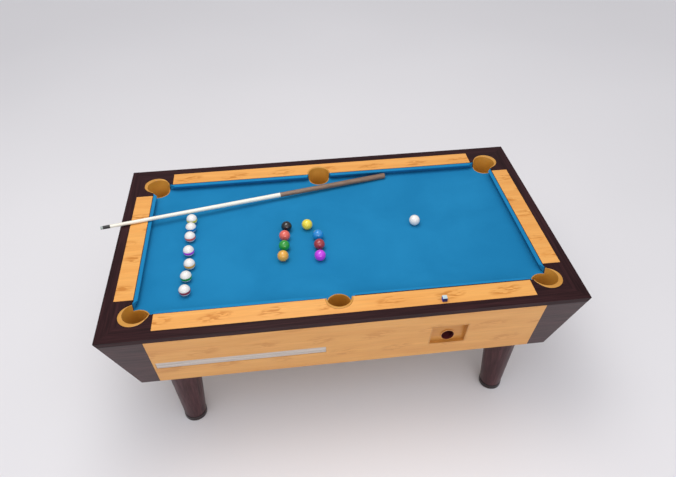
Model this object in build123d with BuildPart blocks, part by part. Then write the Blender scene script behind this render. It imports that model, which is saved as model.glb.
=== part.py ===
from build123d import *
import os
from math import hypot, sqrt

# Pub-size pool table with its balls, cue and chalk. Millimetres, +Z up.
# Origin: on the floor under the centre of the table. +X runs along the length, +Y to the back.

# Overall
table_length = 2250
table_width = 1308
table_height = 808
half_length = table_length / 2
half_width = table_width / 2

# Playing surface
rail_height = 38
bed_z = table_height - rail_height
cloth_thickness = 1
cloth_inset = 2
slate_thickness = 20
slate_length = 2060
slate_width = 1120
nose_x = 965
nose_y = 482.5

# Rails and their light inlays
fascia_height = 30
rail_inner_x = 986
rail_inner_y = 506
rail_foot_inset = 36
inlay_thickness = 4
inlay_half_length = 883
inlay_outer_y = 605
end_inlay_outer_x = 1075
end_inlay_half = 405

# Cabinet
body_bottom_z = 416
body_top_z = table_height - fascia_height
body_bottom_x = 1008
body_bottom_y = 581
panel_thickness = 22
apron_half = 920
post_inner_y = 520
floor_thickness = 18
floor_gap = 0.5

# Pockets
corner_x = 975
corner_y = 504
side_x = -35
side_y = 512
corner_rim_r = 67
side_rim_r = 65
corner_hole_r = 60
side_hole_r = 59
corner_hole_shift = 15
side_hole_shift = 6
rim_proud = 1.5
rim_thickness = 3.5
cup_wall = 4
cup_bottom_z = 660
cup_bottom_r = 45.5
cup_room = 1

# Legs and feet
leg_x = 819
leg_y = 492
leg_top_r = 83
leg_bottom_r = 57
foot_r = 59
foot_height = 30
foot_chamfer = 4
foot_round = 2
stud_r = 8
stud_length = 60
stud_root = 5
running_gap = 0.05
turn_gap = 0.5

# Ball return
window_x0 = -908
window_x1 = -111
window_z0 = 536
window_z1 = 590
recess_x0 = 396
recess_x1 = 568
recess_z0 = 521
recess_z1 = 672
recess_back_y = -583
box_wall = 6
box_back = 8
mouth_x = 488
mouth_z = 558
mouth_r = 30.2
sleeve_wall = 1.3
ring_r = 37
ring_proud = 4
gutter_wall = 4
gutter_depth = 49
gutter_half = 46
gutter_fall = 0.015
outlet_cut = 20

# Loose pieces
ball_r = 28.575
rest_gap = 0.3
chalk_size = 22

body_height = table_height - body_bottom_z
lean_y = (half_width - body_bottom_y) / body_height
quarters = [(-1, -1), (1, -1), (-1, 1), (1, 1)]
corner_names = ["front_left", "front_right", "back_left", "back_right"]
side_names = ["front_side", "back_side"]

# A pocket's round flange has its centre on the rail, and its hole is set nearer the bed
corner_hole_x = corner_x - corner_hole_shift / sqrt(2)
corner_hole_y = corner_y - corner_hole_shift / sqrt(2)
side_hole_y = side_y - side_hole_shift
corners = [(sx * corner_x, sy * corner_y) for sx, sy in quarters]
corner_holes = [(sx * corner_hole_x, sy * corner_hole_y) for sx, sy in quarters]
sides = [(side_x, -side_y), (side_x, side_y)]
side_holes = [(side_x, -side_hole_y), (side_x, side_hole_y)]


def front_y(z):
    """Outer face of the leaning front panel at a height."""
    return -half_width + (table_height - z) * lean_y


def cup_radius(hole_r, z):
    """Outer radius of a conical pocket cup at a height."""
    slope = (hole_r + cup_wall - cup_bottom_r) / (table_height - cup_bottom_z)
    return cup_bottom_r + (z - cup_bottom_z) * slope


def leaning_block(inset):
    """A frustum as large as the table's leaning outside, or smaller all round by an inset."""
    with BuildPart() as block:
        with BuildSketch(Plane.XY.offset(body_bottom_z)):
            Rectangle(2 * (body_bottom_x - inset), 2 * (body_bottom_y - inset))
        with BuildSketch(Plane.XY.offset(table_height)):
            Rectangle(2 * (half_length - inset), 2 * (half_width - inset))
        loft()
    return block.part


def save(piece, name):
    piece.part.label = name
    export_step(piece.part, f"parts/{name}.step")


os.makedirs("parts", exist_ok=True)

# ---------------------------------------------------------------- slate, cloth and their support


notch_side = 200
notch_reach = 45


def bed_layer(z, thickness, shrink):
    """A slab of the bed with a notch at each of the six pockets, open to the slab's corners."""
    corner_r = cup_radius(corner_hole_r, bed_z) + cup_room
    side_r = cup_radius(side_hole_r, bed_z) + cup_room
    half = notch_side / 2
    with BuildPart() as slab:
        with BuildSketch(Plane.XY.offset(z)):
            Rectangle(slate_length - shrink, slate_width - shrink)
            with Locations(*corner_holes):
                Circle(corner_r, mode=Mode.SUBTRACT)
            for (x, y), (sx, sy) in zip(corner_holes, quarters):
                over = (x + sx * (half - notch_reach), y + sy * half)
                beside = (x + sx * half, y + sy * (half - notch_reach))
                with Locations(over, beside):
                    Rectangle(notch_side, notch_side, mode=Mode.SUBTRACT)
            with Locations(*side_holes):
                Circle(side_r, mode=Mode.SUBTRACT)
        extrude(amount=thickness)
    return slab


rail_bolts = [(x, y) for x in (-750, -350, 350, 750) for y in (-540, 540)]
rail_bolts += [(x, y) for x in (-1010, 1010) for y in (-250, 250)]
bolt_r = 4
bolt_head_r = 9
bolt_head = 6
bolt_reach = 25
bolt_spare = 5
bolt_room = 0.2

slate_z = bed_z - cloth_thickness - slate_thickness
with BuildPart() as slate_bed:
    add(bed_layer(slate_z, slate_thickness, 0).part)
    with Locations(*[(x, y, slate_z) for x, y in rail_bolts]):
        Cylinder(bolt_r + bolt_room, 3 * slate_thickness, mode=Mode.SUBTRACT)
save(slate_bed, "slate_bed")

with BuildPart() as bed_cloth:
    add(bed_layer(bed_z - cloth_thickness, cloth_thickness, cloth_inset).part)
    with Locations(*[(x, y, bed_z) for x, y in rail_bolts]):
        Cylinder(bolt_r + bolt_room, 3 * cloth_thickness, mode=Mode.SUBTRACT)
save(bed_cloth, "bed_cloth")

beam_size = 60
beam_half = 608
beam_places = (-700, -250, 250, 700)
with BuildPart() as slate_beams:
    with Locations(*[(x, 0, slate_z - beam_size / 2) for x in beam_places]):
        Box(beam_size, 2 * beam_half, beam_size)
save(slate_beams, "slate_beams")

# ---------------------------------------------------------------- rails


outside = leaning_block(0)


def rail_board(long_side):
    """A mitred rail board with its foot on the slate; built at the front or at the right end."""
    inset = rail_foot_inset
    if long_side:
        top = [(-half_length, -half_width), (half_length, -half_width)]
        top += [(rail_inner_x, -rail_inner_y), (-rail_inner_x, -rail_inner_y)]
        foot = [(-half_length + inset, -half_width + inset), (half_length - inset, -half_width + inset)]
        foot += top[2:]
    else:
        top = [(half_length, -half_width), (half_length, half_width)]
        top += [(rail_inner_x, rail_inner_y), (rail_inner_x, -rail_inner_y)]
        foot = [(half_length - inset, -half_width + inset), (half_length - inset, half_width - inset)]
        foot += top[2:]
    with BuildPart() as board:
        with BuildSketch(Plane.XY.offset(body_top_z)):
            Polygon(*top, align=None)
        extrude(amount=fascia_height)
        with BuildSketch(Plane.XY.offset(bed_z)):
            Polygon(*foot, align=None)
        extrude(amount=rail_height - fascia_height)
        add(outside, mode=Mode.INTERSECT)
    return board


def cut_pockets():
    """Clear every pocket cup and its rim out of the rail being built."""
    at_corners = (corners, corner_rim_r, corner_holes, corner_hole_r)
    at_sides = (sides, side_rim_r, side_holes, side_hole_r)
    for rims, rim_r, holes, hole_r in (at_corners, at_sides):
        with Locations(*[(x, y, table_height) for x, y in holes]):
            Cylinder(hole_r + cup_wall + cup_room, 3 * rail_height, mode=Mode.SUBTRACT)
        with Locations(*[(x, y, table_height) for x, y in rims]):
            Cylinder(rim_r + cup_room / 2, 2 * (rim_thickness - rim_proud), mode=Mode.SUBTRACT)


def cut_bolts():
    """Blind pilot holes in the rail's foot for the bolts that come up through the slate."""
    with Locations(*[(x, y, bed_z) for x, y in rail_bolts]):
        Cylinder(bolt_r + bolt_room, 2 * bolt_reach, mode=Mode.SUBTRACT)


long_inlay_y = (rail_inner_y + inlay_outer_y) / 2
long_inlay_width = inlay_outer_y - rail_inner_y
end_inlay_mid = (rail_inner_x + end_inlay_outer_x) / 2
end_inlay_width = end_inlay_outer_x - rail_inner_x
inlay_z = table_height - inlay_thickness / 2

with BuildPart() as rail_front:
    add(rail_board(True).part)
    with Locations((0, -long_inlay_y, inlay_z)):
        Box(2 * inlay_half_length, long_inlay_width, inlay_thickness, mode=Mode.SUBTRACT)
    cut_pockets()
    cut_bolts()
save(rail_front, "rail_front")

with BuildPart() as rail_back:
    add(mirror(rail_board(True).part, about=Plane.XZ))
    with Locations((0, long_inlay_y, inlay_z)):
        Box(2 * inlay_half_length, long_inlay_width, inlay_thickness, mode=Mode.SUBTRACT)
    cut_pockets()
    cut_bolts()
save(rail_back, "rail_back")

with BuildPart() as rail_end_right:
    add(rail_board(False).part)
    with Locations((end_inlay_mid, 0, inlay_z)):
        Box(end_inlay_width, 2 * end_inlay_half, inlay_thickness, mode=Mode.SUBTRACT)
    cut_pockets()
    cut_bolts()
save(rail_end_right, "rail_end_right")

with BuildPart() as rail_end_left:
    add(mirror(rail_end_right.part, about=Plane.YZ))
save(rail_end_left, "rail_end_left")

# ---------------------------------------------------------------- inlays


def long_inlay(y):
    """A light wood strip let into a long rail, notched round the side pocket."""
    with BuildPart() as inlay:
        with Locations((0, y, inlay_z)):
            Box(2 * inlay_half_length, long_inlay_width, inlay_thickness)
        with Locations(*[(x, y, table_height) for x, y in sides]):
            Cylinder(side_rim_r + cup_room / 2, 3 * inlay_thickness, mode=Mode.SUBTRACT)
    return inlay


save(long_inlay(-long_inlay_y), "inlay_front")
save(long_inlay(long_inlay_y), "inlay_back")

with BuildPart() as inlay_ends:
    with Locations((-end_inlay_mid, 0, inlay_z), (end_inlay_mid, 0, inlay_z)):
        Box(end_inlay_width, 2 * end_inlay_half, inlay_thickness)
save(inlay_ends, "inlay_ends")

# ---------------------------------------------------------------- cushions

nose_height = 36.3
cushion_drop = 2
nose_z = bed_z + nose_height
cushion_top = table_height - cushion_drop
cushion_under = bed_z + rest_gap
nose_lip = 8
corner_back_x = 900
corner_nose_x = 870
corner_back_y = 430
corner_nose_y = 405
side_back = 63
side_nose = 70


def cushion_profile(plane, back, nose):
    """The K shaped section of a cushion: back face on the rail, nose towards the bed."""
    with BuildSketch(plane) as section:
        points = [(back, cushion_under), (back, cushion_top), (nose, nose_z)]
        points += [(nose, nose_z - nose_lip)]
        Polygon(*points, align=None)
    return section


def long_cushion(y_sign, back0, nose0, back1, nose1):
    """A cushion of a long rail, with each end cut from its back point to its nose point."""
    with BuildPart() as cushion:
        section = cushion_profile(Plane.YZ.offset(back0), y_sign * rail_inner_y, y_sign * nose_y)
        extrude(section.sketch, amount=back1 - back0)
        with BuildSketch(Plane.XY.offset(bed_z)):
            outline = [(back0, y_sign * rail_inner_y), (nose0, y_sign * nose_y)]
            outline += [(nose1, y_sign * nose_y), (back1, y_sign * rail_inner_y)]
            Polygon(*outline, align=None)
        extrude(amount=rail_height, mode=Mode.INTERSECT)
    return cushion


def end_cushion(x_sign):
    """A cushion of a short rail, cut at both ends for the corner pockets."""
    with BuildPart() as cushion:
        section = cushion_profile(Plane.XZ.offset(-corner_back_y), x_sign * rail_inner_x, x_sign * nose_x)
        extrude(section.sketch, amount=2 * corner_back_y)
        with BuildSketch(Plane.XY.offset(bed_z)):
            outline = [(x_sign * rail_inner_x, -corner_back_y), (x_sign * nose_x, -corner_nose_y)]
            outline += [(x_sign * nose_x, corner_nose_y), (x_sign * rail_inner_x, corner_back_y)]
            Polygon(*outline, align=None)
        extrude(amount=rail_height, mode=Mode.INTERSECT)
    return cushion


for row, y_sign in (("front", -1), ("back", 1)):
    left = long_cushion(y_sign, -corner_back_x, -corner_nose_x, side_x - side_back, side_x - side_nose)
    right = long_cushion(y_sign, side_x + side_back, side_x + side_nose, corner_back_x, corner_nose_x)
    save(left, f"cushion_{row}_left")
    save(right, f"cushion_{row}_right")
save(end_cushion(-1), "cushion_end_left")
save(end_cushion(1), "cushion_end_right")

# ---------------------------------------------------------------- pocket cups


def pocket_cup(rim, rim_r, hole, hole_r, reach):
    """A conical cup with a flat flange, open downwards, cut away above the bed on the side of play."""
    height = table_height - cup_bottom_z
    middle = cup_bottom_z + height / 2
    with BuildPart() as cup:
        with Locations((*hole, middle)):
            Cone(cup_bottom_r, hole_r + cup_wall, height)
        with Locations((*rim, table_height + rim_proud - rim_thickness / 2)):
            Cylinder(rim_r, rim_thickness)
        with Locations((*hole, middle)):
            Cone(cup_bottom_r - cup_wall, hole_r, height, mode=Mode.SUBTRACT)
        with Locations((*hole, table_height)):
            Cylinder(hole_r, 3 * rim_thickness, mode=Mode.SUBTRACT)
        with Locations((0, 0, bed_z + rail_height)):
            Box(2 * reach, 2 * mouth_y_reach, 2 * rail_height, mode=Mode.SUBTRACT)
    return cup


mouth_x_reach = rail_inner_x + cup_room / 2
mouth_y_reach = rail_inner_y + cup_room / 2
for rim, hole, name in zip(corners, corner_holes, corner_names):
    save(pocket_cup(rim, corner_rim_r, hole, corner_hole_r, mouth_x_reach), f"pocket_{name}")
for rim, hole, name in zip(sides, side_holes, side_names):
    save(pocket_cup(rim, side_rim_r, hole, side_hole_r, half_length), f"pocket_{name}")

# ---------------------------------------------------------------- cabinet


with BuildPart() as shell:
    add(outside)
    add(leaning_block(panel_thickness), mode=Mode.SUBTRACT)
    with Locations((0, 0, body_top_z + body_height / 2)):
        Box(2 * table_length, 2 * table_width, body_height, mode=Mode.SUBTRACT)
walls = shell.part
mid_z = (body_bottom_z + body_top_z) / 2
cut_depth = 200
tall = 2 * body_height

with BuildPart() as apron_back:
    add(walls)
    with Locations((0, half_width, mid_z)):
        Box(2 * apron_half, half_width, tall, mode=Mode.INTERSECT)
save(apron_back, "apron_back")

with BuildPart() as apron_front:
    add(walls)
    with Locations((0, -half_width, mid_z)):
        Box(2 * apron_half, half_width, tall, mode=Mode.INTERSECT)
    with Locations(((window_x0 + window_x1) / 2, -half_width, (window_z0 + window_z1) / 2)):
        Box(window_x1 - window_x0, cut_depth, window_z1 - window_z0, mode=Mode.SUBTRACT)
    with Locations(((recess_x0 + recess_x1) / 2, -half_width, (recess_z0 + recess_z1) / 2)):
        box_x = recess_x1 - recess_x0 + 2 * box_wall
        box_z = recess_z1 - recess_z0 + 2 * box_wall
        Box(box_x, cut_depth, box_z, mode=Mode.SUBTRACT)
save(apron_front, "apron_front")

for name, x_sign in (("end_panel_left", -1), ("end_panel_right", 1)):
    with BuildPart() as end_panel:
        add(walls)
        with Locations((x_sign * half_length, 0, mid_z)):
            Box(half_length, 2 * post_inner_y, tall, mode=Mode.INTERSECT)
    save(end_panel, name)

with BuildPart() as corner_posts:
    add(walls)
    with Locations((0, 0, mid_z)):
        Box(2 * apron_half, table_width, tall, mode=Mode.SUBTRACT)
        Box(table_length, 2 * post_inner_y, tall, mode=Mode.SUBTRACT)
save(corner_posts, "corner_posts")

leg_places = [(x, y) for x in (-leg_x, leg_x) for y in (-leg_y, leg_y)]
leg_bolt_r = 6
leg_bolt_head_r = 14
leg_bolt_reach = 60
with BuildPart() as cabinet_floor:
    with Locations((0, 0, body_bottom_z + floor_thickness / 2)):
        floor_x = 2 * (body_bottom_x - panel_thickness - floor_gap)
        floor_y = 2 * (body_bottom_y - panel_thickness - floor_gap)
        Box(floor_x, floor_y, floor_thickness)
    with Locations(*[(x, y, body_bottom_z) for x, y in leg_places]):
        Cylinder(leg_bolt_r + bolt_room, 3 * floor_thickness, mode=Mode.SUBTRACT)
save(cabinet_floor, "cabinet_floor")

with BuildPart() as bolts:
    with Locations(*[(x, y, slate_z - bolt_head / 2) for x, y in rail_bolts]):
        Cylinder(bolt_head_r, bolt_head)
    shank = slate_thickness + cloth_thickness + bolt_reach - bolt_spare
    with Locations(*[(x, y, slate_z + shank / 2) for x, y in rail_bolts]):
        Cylinder(bolt_r, shank)
    head_z = body_bottom_z + floor_thickness
    with Locations(*[(x, y, head_z + bolt_head / 2) for x, y in leg_places]):
        Cylinder(leg_bolt_head_r, bolt_head)
    with Locations(*[(x, y, head_z - (floor_thickness + leg_bolt_reach) / 2) for x, y in leg_places]):
        Cylinder(leg_bolt_r, floor_thickness + leg_bolt_reach)
save(bolts, "bolts")

# ---------------------------------------------------------------- legs and levelling feet

leg_length = body_bottom_z - foot_height
bore_spare = 4
with BuildPart() as legs:
    with Locations(*[(x, y, foot_height + leg_length / 2) for x, y in leg_places]):
        Cone(leg_bottom_r, leg_top_r, leg_length)
    with Locations(*[(x, y, foot_height) for x, y in leg_places]):
        Cylinder(stud_r + running_gap, 2 * (stud_length - stud_root + bore_spare), mode=Mode.SUBTRACT)
    with Locations(*[(x, y, body_bottom_z) for x, y in leg_places]):
        Cylinder(leg_bolt_r + bolt_room, 2 * (leg_bolt_reach + bore_spare), mode=Mode.SUBTRACT)
save(legs, "legs")

for (x, y), name in zip(leg_places, ("front_left", "back_left", "front_right", "back_right")):
    with BuildPart() as foot:
        with Locations((x, y, (foot_height - turn_gap) / 2)):
            Cylinder(foot_r, foot_height - turn_gap)
        chamfer(foot.edges().filter_by(GeomType.CIRCLE).group_by(Axis.Z)[0], foot_chamfer)
        fillet(foot.edges().filter_by(GeomType.CIRCLE).group_by(Axis.Z)[-1], foot_round)
        with Locations((x, y, foot_height + stud_length / 2 - stud_root)):
            Cylinder(stud_r, stud_length)
    save(foot, f"foot_{name}")

# ---------------------------------------------------------------- window and return box

window_inset = 3
window_plate = 5
with BuildPart() as window:
    with BuildSketch(Plane.YZ.offset(window_x0)):
        low = front_y(window_z0) + window_inset
        high = front_y(window_z1) + window_inset
        points = [(low, window_z0), (low + window_plate, window_z0)]
        points += [(high + window_plate, window_z1), (high, window_z1)]
        Polygon(*points, align=None)
    extrude(amount=window_x1 - window_x0)
save(window, "window")

box_z0 = recess_z0 - box_wall
box_z1 = recess_z1 + box_wall
with BuildPart() as return_box:
    with BuildSketch(Plane.YZ.offset(recess_x0 - box_wall)):
        points = [(front_y(box_z0), box_z0), (recess_back_y + box_back, box_z0)]
        points += [(recess_back_y + box_back, box_z1), (front_y(box_z1), box_z1)]
        Polygon(*points, align=None)
    extrude(amount=recess_x1 - recess_x0 + 2 * box_wall)
    recess_x = (recess_x0 + recess_x1) / 2
    recess_z = (recess_z0 + recess_z1) / 2
    with Locations((recess_x, recess_back_y - cut_depth / 2, recess_z)):
        Box(recess_x1 - recess_x0, cut_depth, recess_z1 - recess_z0, mode=Mode.SUBTRACT)
    with BuildSketch(Plane.XZ.offset(-recess_back_y)):
        with Locations((mouth_x, mouth_z)):
            Circle(ring_r)
    extrude(amount=ring_proud)
    with BuildSketch(Plane.XZ.offset(-recess_back_y - box_back)):
        with Locations((mouth_x, mouth_z)):
            Circle(mouth_r + sleeve_wall)
    extrude(amount=box_back + ring_proud, mode=Mode.SUBTRACT)
save(return_box, "return_box")

sleeve_tail = 3
with BuildPart() as chute_sleeve:
    with BuildSketch(Plane.XZ.offset(-recess_back_y - box_back - sleeve_tail)):
        with Locations((mouth_x, mouth_z)):
            Circle(mouth_r + sleeve_wall)
            Circle(mouth_r, mode=Mode.SUBTRACT)
    extrude(amount=box_back + ring_proud + sleeve_tail)
save(chute_sleeve, "chute_sleeve")

# ---------------------------------------------------------------- trough behind the window, and gutters

trough_front_y = -579
trough_back_y = -462
trough_x0 = -1015
trough_x1 = 388
trough_z = 548
lip = 14
tilt = 6
chute_front_y = recess_back_y + box_back
chute_x1 = 600
chute_z = 522


def trough_section(plane, front, back, z, front_height):
    """A gutter section whose floor tilts down to the front."""
    with BuildSketch(plane) as section:
        w = gutter_wall
        points = [(front, z), (back, z), (back, z + gutter_depth), (back - w, z + gutter_depth)]
        points += [(back - w, z + w + tilt), (front + w, z + w)]
        points += [(front + w, z + front_height), (front, z + front_height)]
        Polygon(*points, align=None)
    return section


post_size = 18
bearer_gap = 0.4
back_bearers = (-700, 0, 700)
cross_bearers = (-200, 300)
trough_bearers = (-600, 150)
right_bearer = 850
front_bearer_y = -520
floor_top = body_bottom_z + floor_thickness


def bearer(x, y, under):
    """A slat that stands on the cabinet floor and holds up a gutter."""
    with Locations((x, y, (floor_top + under - bearer_gap) / 2)):
        Box(post_size, 2 * post_size, under - bearer_gap - floor_top)


board_gap = 0.3
wall_x0 = -corner_x + gutter_half


def trough_board(x0, x1, low_front, low_back, high_back, high_front, y0, y1):
    """A board of the sloping trough, given the heights of its front and back edges at trough_x0."""
    drop = (x0 - trough_x0) * gutter_fall
    points = [(y0, low_front - drop), (y1, low_back - drop)]
    points += [(y1, high_back - drop), (y0, high_front - drop)]
    with BuildPart() as board:
        with BuildSketch(Plane.YZ.offset(x0)) as section:
            Polygon(*points, align=None)
        extrude(section.sketch, amount=x1 - x0, dir=(1, 0, -gutter_fall))
    return board


top_front = trough_z + gutter_wall
top_back = top_front + tilt
lip_z = top_front + board_gap
wall_z = top_back + board_gap
trough_top = trough_z + gutter_depth
lip_y = trough_front_y + gutter_wall
wall_y = trough_back_y - gutter_wall
trough_floor = trough_board(
    trough_x0, trough_x1, trough_z, trough_z, top_back, top_front, trough_front_y, trough_back_y
)
trough_lip = trough_board(
    trough_x0, trough_x1, lip_z, lip_z, trough_z + lip, trough_z + lip, trough_front_y, lip_y
)
trough_wall = trough_board(
    wall_x0, trough_x1, wall_z, wall_z, trough_top, trough_top, wall_y, trough_back_y
)
with BuildPart() as ball_trough:
    add(trough_floor.part)
    add(trough_lip.part)
    add(trough_wall.part)
    with BuildSketch(Plane.YZ.offset(trough_x0 - gutter_wall)):
        with Locations(((trough_front_y + trough_back_y) / 2, trough_z + gutter_depth / 2)):
            Rectangle(trough_back_y - trough_front_y, gutter_depth)
    extrude(amount=gutter_wall - board_gap)
save(ball_trough, "ball_trough")

back_gutter_y = (corner_y + side_y) / 2
back_gutter_z = 606
cross_z = 570
cross_y0 = 553
right_gutter_z = 538


def channel_section(plane, centre, z):
    """A plain U section."""
    with BuildSketch(plane) as section:
        with Locations((centre, z + gutter_depth / 2)):
            Rectangle(2 * (gutter_half + gutter_wall), gutter_depth)
        with Locations((centre, z + gutter_depth / 2 + gutter_wall)):
            Rectangle(2 * gutter_half, gutter_depth, mode=Mode.SUBTRACT)
    return section


def channel_end(plane, centre, z):
    """The outline of a gutter's closed high end."""
    with BuildSketch(plane) as section:
        with Locations((centre, z + gutter_depth / 2)):
            Rectangle(2 * (gutter_half + gutter_wall), gutter_depth)
    return section


gutter_x = 1015
cross_x1 = -corner_x + gutter_half + gutter_wall
with BuildPart() as back_gutter:
    section = channel_section(Plane.YZ.offset(gutter_x), back_gutter_y, back_gutter_z)
    extrude(section.sketch, amount=gutter_x - cross_x1 - cup_room, dir=(-1, 0, -gutter_fall))
    end = channel_end(Plane.YZ.offset(gutter_x), back_gutter_y, back_gutter_z)
    extrude(end.sketch, amount=gutter_wall)

with BuildPart() as cross_gutter:
    section = channel_section(Plane.XZ.offset(-cross_y0), -corner_x, cross_z)
    extrude(section.sketch, amount=cross_y0 - trough_back_y, dir=(0, -1, -gutter_fall))
    end = channel_end(Plane.XZ.offset(-cross_y0 - gutter_wall), -corner_x, cross_z)
    extrude(end.sketch, amount=gutter_wall)
    with Locations((cross_x1, back_gutter_y, cross_z + gutter_depth)):
        Box(outlet_cut, 2 * gutter_half, 2 * (gutter_depth - gutter_wall), mode=Mode.SUBTRACT)

with BuildPart() as right_gutter:
    section = channel_section(Plane.YZ.offset(gutter_x), -corner_y, right_gutter_z)
    extrude(section.sketch, amount=gutter_x - chute_x1 - cup_room, dir=(-1, 0, -gutter_fall))
    end = channel_end(Plane.YZ.offset(gutter_x), -corner_y, right_gutter_z)
    extrude(end.sketch, amount=gutter_wall)

with BuildPart() as chute:
    section = trough_section(Plane.YZ.offset(trough_x1), chute_front_y, trough_back_y, chute_z, gutter_depth)
    extrude(section.sketch, amount=chute_x1 - trough_x1)
    with Locations((mouth_x, chute_front_y, mouth_z)):
        Cylinder(mouth_r + sleeve_wall, 3 * gutter_wall, rotation=(90, 0, 0), mode=Mode.SUBTRACT)

with BuildPart() as bearers:
    for x in back_bearers:
        bearer(x, back_gutter_y, back_gutter_z - (gutter_x - x + post_size) * gutter_fall)
    for y in cross_bearers:
        bearer(-corner_x, y, cross_z - (cross_y0 - y + 2 * post_size) * gutter_fall)
    for x in trough_bearers:
        bearer(x, front_bearer_y, trough_z - (x - trough_x0 + post_size) * gutter_fall)
    bearer(right_bearer, -corner_y, right_gutter_z - (gutter_x - right_bearer + post_size) * gutter_fall)
    bearer(mouth_x, front_bearer_y, chute_z)

with BuildPart() as ball_gutters:
    add(back_gutter.part)
    add(cross_gutter.part)
    add(right_gutter.part)
    add(chute.part)
    add(bearers.part)
save(ball_gutters, "ball_gutters")

# ---------------------------------------------------------------- balls

stripe_x = -755
left_column_x = -270
right_column_x = -90
ball_places = {
    "ball_cue": (436, 18),
    "ball_01": (-140, 54),
    "ball_02": (right_column_x, -38),
    "ball_03": (left_column_x + 6, -22),
    "ball_04": (right_column_x - 4, -197),
    "ball_05": (left_column_x - 10, -178),
    "ball_06": (left_column_x, -101),
    "ball_07": (right_column_x, -113),
    "ball_08": (left_column_x + 20, 51),
    "ball_09": (stripe_x, 175),
    "ball_10": (stripe_x, 105),
    "ball_11": (stripe_x, 30),
    "ball_12": (stripe_x, -80),
    "ball_13": (stripe_x + 11, -180),
    "ball_14": (stripe_x, -267),
    "ball_15": (stripe_x, -361),
}
for name, (x, y) in ball_places.items():
    with BuildPart() as ball:
        with Locations((x, y, bed_z + ball_r + rest_gap)):
            Sphere(ball_r)
    save(ball, name)

# ---------------------------------------------------------------- cue

cue_butt_end = (351, 465)
cue_tip_end = (-1222, 129)
butt_r = 16
joint_r = 13
ferrule_r = 9.5
tip_r = 9.2
tip_front_r = 8.2
butt_length = 636
ferrule_length = 36
tip_length = 13
cue_run = hypot(cue_butt_end[0] - cue_tip_end[0], cue_butt_end[1] - cue_tip_end[1])
cue_rail_run = cue_run * (cue_butt_end[0] + rail_inner_x) / (cue_butt_end[0] - cue_tip_end[0])
cue_start_z = bed_z + butt_r + 2 * rest_gap
cue_rail_r = joint_r - (joint_r - ferrule_r) * (cue_rail_run - butt_length) / (cue_run - butt_length)
cue_rise = (table_height + cue_rail_r + 2 * rest_gap - cue_start_z) / cue_rail_run
cue_origin = Vector(cue_butt_end[0], cue_butt_end[1], cue_start_z)
cue_target = Vector(cue_tip_end[0], cue_tip_end[1], cue_start_z + cue_run * cue_rise)
cue_axis = (cue_target - cue_origin).normalized()
cue_length = (cue_target - cue_origin).length
shaft_length = cue_length - butt_length - ferrule_length - tip_length


def cue_piece(start, length, r0, r1):
    """A tapered length of the cue from one radius to another."""
    near = Plane(origin=cue_origin + cue_axis * start, z_dir=cue_axis)
    far = Plane(origin=cue_origin + cue_axis * (start + length), z_dir=cue_axis)
    with BuildPart() as piece:
        with BuildSketch(near):
            Circle(r0)
        with BuildSketch(far):
            Circle(r1)
        loft()
    return piece


save(cue_piece(0, butt_length, butt_r, joint_r), "cue_butt")
save(cue_piece(butt_length, shaft_length, joint_r, ferrule_r), "cue_shaft")
save(cue_piece(butt_length + shaft_length, ferrule_length, ferrule_r, tip_r), "cue_ferrule")
save(cue_piece(cue_length - tip_length, tip_length, tip_r, tip_front_r), "cue_tip")

# ---------------------------------------------------------------- chalk

chalk_x = 445
chalk_y = -585
dimple_r = 12
dimple_depth = 2
with BuildPart() as chalk_cube:
    with Locations((chalk_x, chalk_y, table_height + rest_gap + chalk_size / 2)):
        Box(chalk_size, chalk_size, chalk_size)
    with Locations((chalk_x, chalk_y, table_height + chalk_size + dimple_r - dimple_depth)):
        Sphere(dimple_r, mode=Mode.SUBTRACT)
save(chalk_cube, "chalk_cube")
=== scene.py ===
import math

import bmesh
import bpy
from mathutils import Matrix, Vector


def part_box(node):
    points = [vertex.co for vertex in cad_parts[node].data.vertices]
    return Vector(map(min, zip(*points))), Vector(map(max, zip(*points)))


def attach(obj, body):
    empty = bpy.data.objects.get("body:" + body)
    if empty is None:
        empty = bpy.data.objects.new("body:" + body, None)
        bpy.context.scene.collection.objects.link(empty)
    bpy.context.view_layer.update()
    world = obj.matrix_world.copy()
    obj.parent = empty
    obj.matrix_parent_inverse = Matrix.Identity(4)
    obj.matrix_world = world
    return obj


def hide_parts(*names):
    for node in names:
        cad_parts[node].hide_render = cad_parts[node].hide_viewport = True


# Pub-size pool table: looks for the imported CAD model. Metres, +Z up, X along the length,
# +Y to the back. The origin is on the floor under the middle of the table.

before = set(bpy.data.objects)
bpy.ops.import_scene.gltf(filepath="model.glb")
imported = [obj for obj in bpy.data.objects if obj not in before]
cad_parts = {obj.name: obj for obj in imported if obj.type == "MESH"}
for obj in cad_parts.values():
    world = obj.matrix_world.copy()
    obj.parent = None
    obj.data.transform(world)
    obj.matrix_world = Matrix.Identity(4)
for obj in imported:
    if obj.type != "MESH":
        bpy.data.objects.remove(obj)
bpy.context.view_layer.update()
scene = bpy.context.scene
scene.view_settings.view_transform = "Standard"

TABLE = "table"
rail_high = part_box("rail_front")[1]
RAIL_TOP = rail_high.z
HALF_LENGTH = rail_high.x
BED_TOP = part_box("bed_cloth")[1].z
ball_low, ball_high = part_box("ball_cue")
BALL_R = (ball_high.z - ball_low.z) / 2
BALL_Z = (ball_high.z + ball_low.z) / 2

# ---------------------------------------------------------------- node helpers


def new_material(name):
    """A material with a bare Principled shader, with its nodes, its links and that shader."""
    mat = bpy.data.materials.new(name)
    mat.use_nodes = True
    nodes = mat.node_tree.nodes
    nodes.clear()
    out = nodes.new("ShaderNodeOutputMaterial")
    shader = nodes.new("ShaderNodeBsdfPrincipled")
    mat.node_tree.links.new(shader.outputs["BSDF"], out.inputs["Surface"])
    return mat, nodes, mat.node_tree.links, shader


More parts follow.
